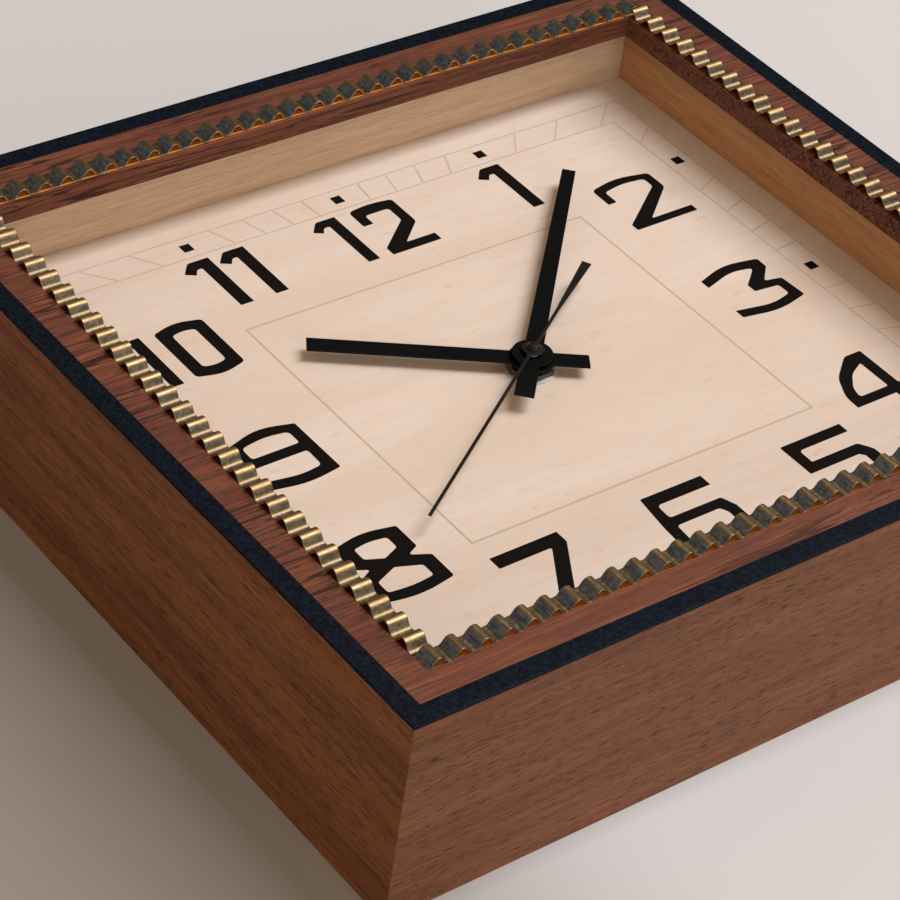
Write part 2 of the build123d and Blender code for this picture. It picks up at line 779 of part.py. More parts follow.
wall_x = -cavity_width / 2
with BuildPart() as battery_contact_minus:
    with BuildSketch(seen_from_front(battery_centre_y + contact_width / 2)):
        with BuildLine():
            Line((wall_x, bay_middle - contact_height / 2), (wall_x, bay_middle + contact_height / 2))
            Line(
                (wall_x, bay_middle + contact_height / 2),
                (wall_x + contact_thickness, bay_middle + contact_height / 2),
            )
            ThreePointArc(
                (wall_x + contact_thickness, bay_middle + contact_height / 2),
                (wall_x + contact_bow, bay_middle),
                (wall_x + contact_thickness, bay_middle - contact_height / 2),
            )
            Line(
                (wall_x + contact_thickness, bay_middle - contact_height / 2),
                (wall_x, bay_middle - contact_height / 2),
            )
        make_face()
        with BuildLine():
            ThreePointArc(
                (wall_x + contact_thickness, bay_middle + contact_height / 2 - contact_thickness),
                (wall_x + contact_bow - contact_thickness, bay_middle),
                (wall_x + contact_thickness, bay_middle - contact_height / 2 + contact_thickness),
            )
            Line(
                (wall_x + contact_thickness, bay_middle - contact_height / 2 + contact_thickness),
                (wall_x + contact_thickness, bay_middle + contact_height / 2 - contact_thickness),
            )
        make_face(mode=Mode.SUBTRACT)
    extrude(amount=contact_width)
battery_contact_minus.part.label = "battery_contact_minus"
export_step(battery_contact_minus.part, "parts/battery_contact_minus.step")


def hand_plane(y, angle):
    """Plane at depth y that faces the front, with its Y axis turned angle degrees clockwise."""
    turn = math.radians(angle)
    return Plane(
        origin=(0, y, dial_centre_z),
        x_dir=(math.cos(turn), 0, -math.sin(turn)),
        z_dir=(0, -1, 0),
    )


# Hour hand: stamped baton pressed on the hour wheel's tube
with BuildPart() as hour_hand:
    with BuildSketch(hand_plane(dial_y - hour_hand_height, hour_hand_angle)):
        with Locations((0, (hour_hand_length - hour_hand_tail) / 2)):
            Rectangle(hour_hand_width, hour_hand_length + hour_hand_tail)
        Circle(hour_hub_radius)
        Circle(hour_tube_radius + hand_grip, mode=Mode.SUBTRACT)
    extrude(amount=hand_thickness)
hour_hand.part.label = "hour_hand"
export_step(hour_hand.part, "parts/hour_hand.step")

# Minute hand: stamped baton, narrower towards its tip
with BuildPart() as minute_hand:
    with BuildSketch(hand_plane(dial_y - minute_hand_height, minute_hand_angle)):
        with BuildLine():
            Polyline(
                (-minute_hand_tail_width / 2, -minute_hand_tail),
                (minute_hand_tail_width / 2, -minute_hand_tail),
                (minute_hand_tip_width / 2, minute_hand_length),
                (-minute_hand_tip_width / 2, minute_hand_length),
                close=True,
            )
        make_face()
        Circle(minute_hub_radius)
        Circle(minute_tube_radius + hand_grip, mode=Mode.SUBTRACT)
    extrude(amount=hand_thickness)
minute_hand.part.label = "minute_hand"
export_step(minute_hand.part, "parts/minute_hand.step")

# Second hand: thin strip with a paddle at its tail and a domed cap over the arbor's end
with BuildPart() as second_hand:
    with BuildSketch(hand_plane(dial_y - second_hand_height, second_hand_angle)):
        with Locations((0, (second_hand_length - second_paddle_start) / 2)):
            Rectangle(second_hand_width, second_hand_length + second_paddle_start)
        with BuildLine():
            Polyline(
                (-second_hand_width / 2, -second_paddle_start),
                (second_hand_width / 2, -second_paddle_start),
                (second_paddle_width / 2, -second_hand_tail),
                (-second_paddle_width / 2, -second_hand_tail),
                close=True,
            )
        make_face()
        Circle(second_hub_radius)
    extrude(amount=second_hand_thickness)
    disc(second_hand_y - second_cap_height, (0, 0), second_cap_radius, second_cap_height)
    cap_edge = second_hand.faces().sort_by(Axis.Y)[0].edges()
    chamfer(cap_edge, length=second_cap_chamfer)
    disc(
        second_hand_y, (0, 0), arbor_radius + hand_grip,
        second_hand_thickness + cut_overrun, mode=Mode.SUBTRACT,
    )
second_hand.part.label = "second_hand"
export_step(second_hand.part, "parts/second_hand.step")
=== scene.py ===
import json
import math

import bmesh
import bpy
from mathutils import Matrix, Vector


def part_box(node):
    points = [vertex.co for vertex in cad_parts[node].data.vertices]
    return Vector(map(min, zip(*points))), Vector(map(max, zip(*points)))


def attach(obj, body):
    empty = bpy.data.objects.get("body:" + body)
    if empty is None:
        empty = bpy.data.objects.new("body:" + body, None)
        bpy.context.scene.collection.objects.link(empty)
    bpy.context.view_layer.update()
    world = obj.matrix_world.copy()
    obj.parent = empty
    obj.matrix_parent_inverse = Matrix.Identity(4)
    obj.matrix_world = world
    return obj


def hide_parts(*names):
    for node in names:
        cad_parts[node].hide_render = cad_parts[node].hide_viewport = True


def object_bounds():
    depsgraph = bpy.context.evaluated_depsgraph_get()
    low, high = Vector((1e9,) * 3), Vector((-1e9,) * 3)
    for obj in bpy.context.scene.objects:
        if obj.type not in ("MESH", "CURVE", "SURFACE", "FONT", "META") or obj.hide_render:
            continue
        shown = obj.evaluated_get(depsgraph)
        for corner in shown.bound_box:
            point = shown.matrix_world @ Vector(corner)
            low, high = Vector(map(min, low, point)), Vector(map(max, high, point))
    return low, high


# Looks of a wooden desk clock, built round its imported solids. Metres; X to the right, Y to the
# back, Z up. Pieces that need softer edges or finer forms are new meshes in the solids' places.

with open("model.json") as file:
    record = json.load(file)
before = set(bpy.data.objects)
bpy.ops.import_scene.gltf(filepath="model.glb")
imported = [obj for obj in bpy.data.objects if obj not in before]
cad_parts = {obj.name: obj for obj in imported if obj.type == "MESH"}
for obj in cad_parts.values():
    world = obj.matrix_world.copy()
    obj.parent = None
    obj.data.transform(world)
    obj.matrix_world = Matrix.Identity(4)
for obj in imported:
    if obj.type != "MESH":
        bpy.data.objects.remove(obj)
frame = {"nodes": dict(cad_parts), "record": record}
cad_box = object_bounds()

# Case: four boards of oiled walnut, mitred at their ends and glued into a box, the grain running
# along each board. The left board is more streaked than the lower one, which has dense short
# pores.
MM = 0.001
SIDES = ("top", "bottom", "left", "right")
LEVEL_SIDES = ("top", "bottom")
nodes = frame["nodes"]
node_slots = {row["node"]: row["material_slot"] for row in frame["record"]["subparts"]}
board_easing = 0.15 * MM


class Signal:
    """Output of a shader node that takes part in sums like a number."""

    def __init__(self, shader, socket):
        self.shader = shader
        self.socket = socket

    def __add__(self, other):
        return self.shader.maths("ADD", self, other)

    def __sub__(self, other):
        return self.shader.maths("SUBTRACT", self, other)

    def __rsub__(self, other):
        return self.shader.maths("SUBTRACT", other, self)

    def __mul__(self, other):
        return self.shader.maths("MULTIPLY", self, other)

    __radd__ = __add__
    __rmul__ = __mul__


class Shader:
    """Node tree of one material, with a method for each kind of step."""

    def __init__(self, name, tree=None):
        if tree is None:
            self.material = bpy.data.materials.new(name)
            self.material.use_nodes = True
            tree = self.material.node_tree
        self.tree = tree
        tree.nodes.clear()

    def node(self, kind, settings=None, inputs=None, output=0):
        """New node with these settings, values and links; gives one of its outputs."""
        made = self.tree.nodes.new("ShaderNode" + kind)
        for key, value in (settings or {}).items():
            setattr(made, key, value)
        for key, value in (inputs or {}).items():
            if isinstance(value, Signal):
                self.tree.links.new(value.socket, made.inputs[key])
            else:
                made.inputs[key].default_value = value
        return Signal(self, made.outputs[output]) if len(made.outputs) else made

    def maths(self, operation, first, second=0.0):
        return self.node("Math", {"operation": operation}, {0: first, 1: second})

    def place(self, scale=(1, 1, 1)):
        """The piece's own coordinates in metres, stretched by the scale."""
        spot = self.node("TexCoord", output="Object")
        return self.node("VectorMath", {"operation": "MULTIPLY"}, {0: spot, 1: scale})

    def measure(self, axis, place=None):
        """One axis of a place, by default of the piece's own coordinates in metres."""
        return self.node("SeparateXYZ", inputs={0: place or self.place()}, output=axis)

    def noise(self, place, scale, detail=3.0, roughness=0.55, distortion=0.0):
        values = {"Vector": place, "Scale": scale, "Detail": detail}
        values.update({"Roughness": roughness, "Distortion": distortion})
        return self.node("TexNoise", inputs=values, output="Fac")

    def ramp(self, value, low, high):
        """0 below low and 1 above high, with a smooth step between; low may exceed high."""
        settings = {"interpolation_type": "SMOOTHSTEP"}
        if low < high:
            return self.node("MapRange", settings, {0: value, 1: low, 2: high, 3: 0.0, 4: 1.0})
        return self.node("MapRange", settings, {0: value, 1: high, 2: low, 3: 1.0, 4: 0.0})

    def mix(self, share, first, second):
        return self.node("Mix", {"data_type": "RGBA"}, {0: share, 6: first, 7: second}, 2)

    def bump(self, height, distance, strength):
        values = {"Height": height, "Distance": distance, "Strength": strength}
        return self.node("Bump", inputs=values)

    def surface(self, **inputs):
        """Principled surface as the material's output; underscores stand for spaces."""
        named = {key.replace("_", " "): value for key, value in inputs.items()}
        shaded = self.node("BsdfPrincipled", inputs=named)
        self.node("OutputMaterial", inputs={"Surface": shaded})
        return self.material


def tint(code, share=1.0):
    """Linear colour of a six-digit screen colour, darkened by the share."""
    parts = [int(code[k:k + 2], 16) / 255 for k in (0, 2, 4)]
    linear = [p / 12.92 if p <= 0.04045 else ((p + 0.055) / 1.055) ** 2.4 for p in parts]
    return (*(share * value for value in linear), 1.0)


def new_piece(name, mesh, material, body, slot, *stands_for):
    """Puts a bmesh in the scene as a piece that rides on a body."""
    data = bpy.data.meshes.new(name)
    mesh.to_mesh(data)
    mesh.free()
    piece = bpy.data.objects.new(name, data)
    bpy.context.scene.collection.objects.link(piece)
    data.materials.append(material)
    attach(piece, body)
    if stands_for:
        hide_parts(*stands_for)
    return piece


def eased(node, material, width, segments=2, body="case", sharp_angle=35):
    """Copy of a solid in its place, with its sharp edges rounded by the width."""
    mesh = bmesh.new()
    mesh.from_mesh(nodes[node].data)
    bmesh.ops.remove_doubles(mesh, verts=mesh.verts, dist=0.001 * MM)
    bmesh.ops.dissolve_limit(
        mesh, angle_limit=math.radians(0.5), verts=mesh.verts, edges=mesh.edges
    )
    for face in mesh.faces:
        face.smooth = True
    piece = new_piece(node + "_finish", mesh, material, body, node_slots[node], node)
    piece.data.set_sharp_from_angle(angle=math.radians(sharp_angle))
    rounding = piece.modifiers.new("eased", "BEVEL")
    rounding.width = width
    rounding.segments = segments
    rounding.limit_method = "ANGLE"
    rounding.angle_limit = math.radians(sharp_angle)
    rounding.harden_normals = True


def wood(
    name, grain, light, dark, pore, pore_share, figure, sheen, lined, fine=1.0, cracks=0.0,
    painted_foot_light=0.0,
):
    """Timber with its grain along one axis: broad figure, fine streaks and long thin pores.

    Figure and lined weigh the broad pattern and the thin dark lines, and fine shrinks the
    finest ones. Cracks is the share of dark cracks, and painted_foot_light that of a lighter,
    redder lower edge painted in as light bouncing up from below.
    """
    shader = Shader(name)

    def stretched(across, along=1):
        return shader.place([along if axis == grain else across for axis in "xyz"])

    broad_place, fine_place, pore_place = stretched(14), stretched(26), stretched(22, 2)
    broad = shader.noise(broad_place, 6.0, detail=4.0, roughness=0.6, distortion=0.7)
    streaks = shader.noise(fine_place, 22.0, detail=4.0, roughness=0.65, distortion=0.5)
    lines = shader.noise(fine_place, 80.0 * fine, detail=2.0, roughness=0.5)
    pore_noise = shader.noise(pore_place, 130.0 * fine, detail=2.0)
    pores = shader.ramp(pore_noise, 0.46, 0.37)
    beds = shader.ramp(shader.noise(broad_place, 26.0, detail=2.0), 0.38, 0.60)
    pattern = broad * (0.5 * figure) + streaks * 0.5 + (0.25 - 0.25 * figure)
    colour = shader.mix(shader.ramp(pattern, 0.38, 0.62), tint(dark), tint(light))
    colour = shader.mix(shader.ramp(lines, 0.56, 0.38) * lined, colour, tint(dark, 0.5))
    colour = shader.mix(pores * (0.3 + beds * 0.7) * pore_share, colour, tint(pore))
    if cracks:
        wave = shader.noise(fine_place, 21.0, detail=1.0, roughness=0.5, distortion=0.2) - 0.5
        crack_edge, crack_middle = 0.0024, 0.0004
        crack = shader.ramp(wave * wave, crack_edge, crack_middle) * shader.ramp(broad, 0.40, 0.55)
        colour = shader.mix(crack * cracks, colour, tint(pore))
    # Painted light: a lighter, redder band along the lower edge stands in for light bouncing up
    # from below.
    if painted_foot_light:
        foot_top, foot_full = 26 * MM, 14 * MM
        painted_foot = shader.ramp(shader.measure("Z"), foot_top, foot_full)
        colour = shader.mix(painted_foot * painted_foot_light, colour, tint("a96c52"))
    relief = 0.06 * MM
    return shader.surface(
        Base_Color=colour,
        Roughness=sheen + streaks * 0.16 + pores * 0.2,
        Normal=shader.bump(lines * 0.35 + streaks * 0.4 - pores * 1.2, relief, 0.55),
        Specular_IOR_Level=0.25,
    )


walnut = {
    "bottom": wood(
        "walnut_bottom", "x", "84563c", "69422d", "28140c",
        pore_share=0.7, figure=0.6, sheen=0.45, lined=0.2,
    ),
    "top": wood(
        "walnut_top", "x", "82543c", "663f2b", "28140c",
        pore_share=0.7, figure=0.7, sheen=0.45, lined=0.2,
    ),
    "left": wood(
        "walnut_left", "z", "8d5a36", "6b4229", "2c160a",
        pore_share=0.6, figure=1.0, sheen=0.45, lined=0.3,
    ),
    "right": wood(
        "walnut_right", "z", "8c552e", "6a3e24", "2e170c",
        pore_share=0.5, figure=0.9, sheen=0.45, lined=0.25,
    ),
}
for side in SIDES:
    eased("case_" + side, walnut[side], board_easing)

# Edging: thin strips stained blue-black over open grain, slightly mottled and worn. They are
# mitred like the boards and glued on the boards' front edges, with a small bevel outside.
edging = Shader("black_edging")
edging_place = edging.place((6, 6, 6))
mottle = edging.noise(edging_place, 110.0, detail=4.0, roughness=0.65)
specks = edging.noise(edging_place, 260.0, roughness=0.6)
stain = mottle * 0.4 + specks * 0.6
black_edging = edging.surface(
    Base_Color=edging.mix(edging.ramp(stain, 0.4, 0.62), tint("060a10"), tint("101a27")),
    Roughness=0.36 + specks * 0.2,
    Normal=edging.bump(stain, 0.06 * MM, 0.5),
    Specular_IOR_Level=0.1,
)
for side in SIDES:
    eased("edging_" + side, black_edging, 0.06 * MM)

# Front frame: a plate faced with one sheet of walnut veneer, its grain level all round and
# cracked here and there. It is glued inside the boards, and a ledge round its opening carries
# the brass ribbon.
# Its lower edge carries painted light, as if bouncing up from below.
veneer = wood(
    "walnut_veneer", "x", "7a4834", "5c3428", "1e0d07",
    pore_share=0.6, figure=0.7, sheen=0.44, lined=0.45, fine=0.85, cracks=0.85, painted_foot_light=0.08,
)
eased("front_frame", veneer, 0.12 * MM)

# Brass ribbon: four strips of thin brass, corrugated between rollers and laid on the ledge. The
# brass is drawn across the strips, golden on the crests, with a grey film on the flanks. The
# film's tone and the golden inner sides of the folds are painted reflection and bounce light.


def aged_brass(level):
    """Brass of a level or an upright strip. Their film differs in tone as painted reflection:
    cooler grey on the level strips, warmer on the upright ones.
    """
    brass = Shader("aged_brass_" + ("level" if level else "upright"))
    own_place = brass.place()
    facing = brass.measure("Y", brass.node("NewGeometry", output="Normal"))
    drawn_place = brass.place((26, 12, 1) if level else (1, 12, 26))
    drawn = brass.noise(drawn_place, 260.0, roughness=0.6)
    stains = brass.noise(own_place, 1000.0, detail=4.0, roughness=0.7)
    clouds = brass.noise(own_place, 90.0)
    crest_from, crest_full = -25.5 * MM, -27.2 * MM
    crest_share = brass.ramp(brass.measure("Y", own_place), crest_from, crest_full)
    flat = brass.ramp(facing * facing + (clouds - 0.5) * 0.5, 0.42, 0.82)
    # Painted reflection: the level strips' film is made cooler and greyer and the upright strips'
    # warmer, for the light each kind reflects.
    film_and_reflection_dark, film_and_reflection_light = ("67686d", "a39b8c") if level else ("6a6054", "948468")
    film_pattern = brass.ramp(stains * 0.6 + drawn * 0.4, 0.4, 0.6)
    film_and_reflection = brass.mix(film_pattern, tint(film_and_reflection_dark), tint(film_and_reflection_light))
    trough = brass.mix(brass.ramp(stains, 0.4, 0.6), tint("7d6d52"), tint("968463"))
    crest = brass.mix(brass.ramp(drawn, 0.35, 0.65), tint("92734a"), tint("b99b72"))
    # Painted bounce light: the inner side of each fold is made golden and half diffuse, standing
    # in for light thrown back inside the folds.
    inner_side_glow = brass.ramp(facing, 0.05, 0.35)
    outside = brass.mix(flat, film_and_reflection, brass.mix(crest_share, trough, crest))
    dullness = 0.46 if level else 0.52
    return brass.surface(
        Base_Color=brass.mix(inner_side_glow, outside, tint("f2a83e")),
        Metallic=1.0 - inner_side_glow * 0.5,
        Roughness=dullness - flat * 0.06 + brass.ramp(stains, 0.45, 0.75) * 0.12,
        Normal=brass.bump(drawn * 0.7 + stains * 0.3, 0.03 * MM, 0.6),
    )


level_brass, upright_brass = aged_brass(level=True), aged_brass(level=False)
# Painted bounce light: a golden sheet laid under the level strips' arches stands in for light
# thrown back inside them.
golden = Shader("painted_glow_brass")
golden_glow_tone = golden.noise(golden.place(), 500.0)
painted_glow_brass = golden.surface(
    Base_Color=golden.mix(golden_glow_tone, tint("b8792c"), tint("d49a44")),
    Metallic=0.35,
    Roughness=0.45 + golden_glow_tone * 0.1,
    Normal=golden.bump(golden_glow_tone, 0.02 * MM, 0.4),
)
fold_radius, wave_height, strip_thickness = 1.5 * MM, 2.06 * MM, 0.35 * MM
wave_pitch, inner_gap = 5.9 * MM, 0.4 * MM
fold_segments = 10
unevenness = 0.01 * MM
fold_clearance = 0.03 * MM
glow_sheet_height = strip_thickness / 2 + 0.002 * MM


def ribbon_profile(run):
    """Points (along, lift) of the corrugated band, an arc for each fold, from a trough on."""
    half_waves = round(2 * run / wave_pitch)
    half_pitch = run / half_waves
    rise, reach = wave_height / 2 - fold_radius, half_pitch / 2
    slope = math.atan2(rise, reach) + math.asin(fold_radius / math.hypot(rise, reach))
    tolerance = 1e-7
    profile = []
    for fold in range(half_waves + 1):
        turn = 1 if fold % 2 else -1
        slack = unevenness * (math.sin(2.3 * fold) + math.sin(0.71 * fold + 1))
        for step in range(fold_segments + 1):
            angle = slope * (2 * step / fold_segments - 1)
            along = fold * half_pitch + fold_radius * math.sin(angle)
            lift = turn * (rise + fold_radius * math.cos(angle) - fold_clearance) + slack
            if -tolerance <= along <= run + tolerance:
                profile.append((along, lift))
    return profile


for side in SIDES:
    level = side in LEVEL_SIDES
    low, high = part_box("ribbon_" + side)
    low.x += inner_gap * (side == "right")
    high.x -= inner_gap * (side == "left")
    low.z += inner_gap * (side == "top")
    high.z -= inner_gap * (side == "bottom")
    start, end = (low.x, high.x) if level else (low.z, high.z)
    profile = ribbon_profile(end - start)
    last = len(profile) - 1
    strip = bmesh.new()
    bmesh.ops.create_grid(strip, x_segments=last, y_segments=1, size=0.5)
    middle_y = (low.y + high.y) / 2
    for vertex in strip.verts:
        along, lift = profile[round((vertex.co.x + 0.5) * last)]
        across = vertex.co.y + 0.5
        if level:
            z = low.z + across * (high.z - low.z)
            vertex.co = (start + along, middle_y - lift, z)
        else:
            x = low.x + across * (high.x - low.x)
            vertex.co = (x, middle_y - lift, start + along)
    bmesh.ops.recalc_face_normals(strip, faces=strip.faces)
    for face in strip.faces:
        face.smooth = True
    if level:
        # A flat golden sheet under the arches is painted bounce light and shows as golden half
        # moons.
        glow_sheet = [
            strip.verts.new((x, high.y - glow_sheet_height, z))
            for x, z in ((low.x, low.z), (high.x, low.z), (high.x, high.z), (low.x, high.z))
        ]
        strip.faces.new(glow_sheet).material_index = 1
    brass = level_brass if level else upright_brass
    band, solid = "ribbon_band_" + side, "ribbon_" + side
    ribbon = new_piece(band, strip, brass, "case", "aged_brass", solid)
    if level:
        ribbon.data.materials.append(painted_glow_brass)
    thick = ribbon.modifiers.new("sheet", "SOLIDIFY")
    thick.thickness = strip_thickness
    thick.offset = 0
    thick.use_even_offset = False
    edge = ribbon.modifiers.new("edge", "BEVEL")
    edge.width = 0.12 * MM
    edge.segments = 3
    edge.limit_method = "ANGLE"
    edge.angle_limit = math.radians(50)
    edge.harden_normals = True

# Glass: a flat pane of clear float glass, which only mirrors its surroundings faintly. It is
# held between the front frame and the spacer walls.
glass = Shader("clear_glass")
edge_share = glass.node("Fresnel", inputs={"IOR": 1.45})
clear = glass.node("BsdfTransparent", inputs={"Color": (0.99, 0.995, 0.99, 1)})
gloss = glass.node("BsdfGlossy", inputs={"Color": (0.03, 0.03, 0.03, 1), "Roughness": 0.0})
inner_face = glass.node("NewGeometry", output="Backfacing")
pane = glass.node("MixShader", inputs={0: edge_share * (1 - inner_face), 1: clear, 2: gloss})
glass.node("OutputMaterial", inputs={"Surface": pane})


def coat(node, material):
    """Gives a solid that is shown as it is its material."""
    nodes[node].data.materials.clear()
    nodes[node].data.materials.append(material)


coat("glass_pane", glass.material)

# Spacer walls: planed maple bars between the pane and the dial, butted at the corners and glued
# inside the case. They keep the pane clear of the hands and show as the opening's inner walls.
# Lit and shaded copies of one maple: the upright walls are toned darker and more orange than the
# level ones as painted shade.
lit_maple_level = wood(
    "lit_maple_level", "x", "dfc5ae", "cfb499", "a88463",
    pore_share=0.2, figure=0.7, sheen=0.5, lined=0.2,
)
shaded_maple_upright = wood(
    "shaded_maple_upright", "z", "cb9c72", "b88b61", "8f6640",
    pore_share=0.25, figure=0.8, sheen=0.5, lined=0.3,
)
for side in SIDES:
    eased("spacer_" + side, lit_maple_level if side in LEVEL_SIDES else shaded_maple_upright, 0.1 * MM)

# Dial: a board faced with pale maple veneer, with faint warm streaks and the odd soft fleck. It
# lies between the spacer walls and the rails.
dial = Shader("dial_maple")
dial_place = dial.place((1, 8, 8))
clouds = dial.noise(dial_place, 5.0, roughness=0.5, distortion=0.8)
fibres = dial.noise(dial_place, 60.0, detail=4.0, roughness=0.6, distortion=0.3)
flecks = dial.ramp(dial.noise(dial.place((1, 9, 3)), 160.0, detail=2.0), 0.62, 0.72)
dial_colour = dial.mix(dial.ramp(clouds, 0.35, 0.65), tint("e0d5d1"), tint("d9cbc3"))
dial_colour = dial.mix(dial.ramp(fibres, 0.42, 0.62) * 0.22, dial_colour, tint("d9bda6"))
dial_colour = dial.mix(flecks * 0.22, dial_colour, tint("c09a78"))
dial_maple = dial.surface(
    Base_Color=dial_colour,
    Roughness=0.46 + fibres * 0.14,
    Normal=dial.bump(fibres, 0.03 * MM, 0.4),
    Specular_IOR_Level=0.35,
)
coat("dial_board", dial_maple)

# Printing on the dial: screen-printed ink a few hundredths of a millimetre thick, black for the
# numerals and hour marks, pale for the minute track and the line box. Its sizes are in
# millimetres from the dial's centre.
ink = Shader("dial_ink")
ink_grain = ink.noise(ink.place((1, 4, 4)), 300.0)
pinholes = ink.ramp(ink.noise(ink.place(), 1500.0, detail=2.0), 0.70, 0.78)
ink_tone = ink.mix(ink_grain, tint("0c0908"), tint("130f0d"))
black_ink = ink.surface(
    Base_Color=ink.mix(pinholes * 0.5, ink_tone, tint("6b5a4e")),
    Roughness=0.55 + ink_grain * 0.2,
    Normal=ink.bump(ink_grain, 0.01 * MM, 0.5),
    Specular_IOR_Level=0.08,
)
faint = Shader("faint_ink")
faint_grain = faint.noise(faint.place(), 900.0, detail=2.0)
faint_ink = faint.surface(
    Base_Color=faint.mix(faint_grain, tint("bbaa9c"), tint("c9b9ab")),
    Roughness=0.55 + faint_grain * 0.1,
    Normal=faint.bump(faint_grain, 0.01 * MM, 0.4),
    Specular_IOR_Level=0.3,
)
dial_low, dial_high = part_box("dial_board")
dial_z = (dial_low.z + dial_high.z) / 2
ink_thickness = 0.03 * MM


def ink_vertex(mesh, x, z):
    """New vertex on the front of the ink, at metres from the dial's centre."""
    return mesh.verts.new((x, dial_low.y - ink_thickness, dial_z + z))


def ink_strip(mesh, points, width, closed=False):
    """Mitred strip of ink along points on the dial, in millimetres."""
    spots = [Vector(point) for point in points]
    count = len(spots)
    sharpest_mitre = 0.35
    rims = []
    for number, spot in enumerate(spots):
        before = spots[number - 1] if number or closed else None
        after = spots[(number + 1) % count] if number + 1 < count or closed else None
        ahead = ((after - spot) if after is not None else (spot - before)).normalized()
        behind = (spot - before).normalized() if before is not None else ahead
        side = Vector((-ahead.y - behind.y, ahead.x + behind.x)).normalized()
        reach = width / 2 / max(sharpest_mitre, side.dot(Vector((-ahead.y, ahead.x))))
        corners = [(spot + sign * reach * side) * MM for sign in (1, -1)]
        rims.append([ink_vertex(mesh, *corner) for corner in corners])
    pairs = list(zip(rims, rims[1:] + rims[:1] if closed else rims[1:]))
    for (left, right), (next_left, next_right) in pairs:
        mesh.faces.new((left, right, next_right, next_left))


def print_piece(name, mesh, material):
    """Gives the ink its thickness and puts it on the case."""
    bmesh.ops.recalc_face_normals(mesh, faces=mesh.faces)
    if sum(face.normal.y for face in mesh.faces) > 0:
        bmesh.ops.reverse_faces(mesh, faces=mesh.faces)
    piece = new_piece(name, mesh, material, "case", "dial_maple")
    body = piece.modifiers.new("ink", "SOLIDIFY")
    body.thickness = 0.9 * ink_thickness
    body.offset = -1


def ink_frame(mesh, half_width, half_height, width):
    """Closed rectangle of ink round the dial's centre."""
    x, z = half_width, half_height
    ink_strip(mesh, [(-x, -z), (x, -z), (x, z), (-x, z)], width, closed=True)


box_half_width, box_half_height, box_line = 50, 43.1, 0.55
box_lines = bmesh.new()
ink_frame(box_lines, box_half_width, box_half_height, box_line)
print_piece("line_box", box_lines, faint_ink)

track_x, track_z, track_half = 88.9, 76.7, 3.75
line_width, minute_width, hour_mark = 0.3, 0.35, 2.8
minute_gap, nearly_zero = 0.4, 1e-9
track = bmesh.new()
for shift in (-track_half, track_half):
    ink_frame(track, track_x + shift, track_z + shift, line_width)
marks = bmesh.new()
for minute in range(60):
    angle = math.radians(6 * minute)
    ray = Vector((math.sin(angle), math.cos(angle)))
    across, upwards = max(abs(ray.x), nearly_zero), max(abs(ray.y), nearly_zero)
    reach = min(track_x / across, track_z / upwards)
    spot = reach * ray
    if minute % 5 == 0:
        half_mark = Vector((hour_mark / 2, 0))
        ink_strip(marks, [spot - half_mark, spot + half_mark], hour_mark)
    else:
        on_level_side = abs(spot.y) > track_z - 0.01
        half = (track_half - minute_gap) / abs(ray.y if on_level_side else ray.x)
        ink_strip(track, [spot - half * ray, spot + half * ray], minute_width)
print_piece("minute_track", track, faint_ink)
print_piece("hour_marks", marks, black_ink)


def spread(corners, amount):
    """Outline with all its sides moved outwards by the amount, or inwards below zero."""
    spots = [Vector(corner[:2]) for corner in corners]
    sides = [(spots[k] - spots[k - 1]).normalized() for k in range(len(spots))]
    turning = sum(spots[k - 1].cross(spots[k]) for k in range(len(spots)))
    out = amount if turning > 0 else -amount
    moved = []
    for k, spot in enumerate(spots):
        before, after = sides[k], sides[(k + 1) % len(spots)]
        both = Vector((before.y + after.y, -before.x - after.x))
        spot = spot + both * (out / (1 + before.dot(after)))
        moved.append((spot.x, spot.y, corners[k][2]))
    return moved


def rounded(corners, steps=5):
    """Outline whose corners (x, z, radius) are turned by arcs; a large radius bows a side."""
    longest_cut = 0.48
    outline = []
    count = len(corners)
    for number, (x, z, radius) in enumerate(corners):
        spot = Vector((x, z))
        before = Vector(corners[number - 1][:2]) - spot
        after = Vector(corners[(number + 1) % count][:2]) - spot
        half = before.angle(after) / 2
        shorter = min(before.length, after.length)
        cut = min(radius / math.tan(half), longest_cut * shorter)
        first = spot + before.normalized() * cut
        last = spot + after.normalized() * cut
        for step in range(steps + 1):
            share = step / steps
            outline.append(first.lerp(spot, share).lerp(spot.lerp(last, share), share))
    return outline


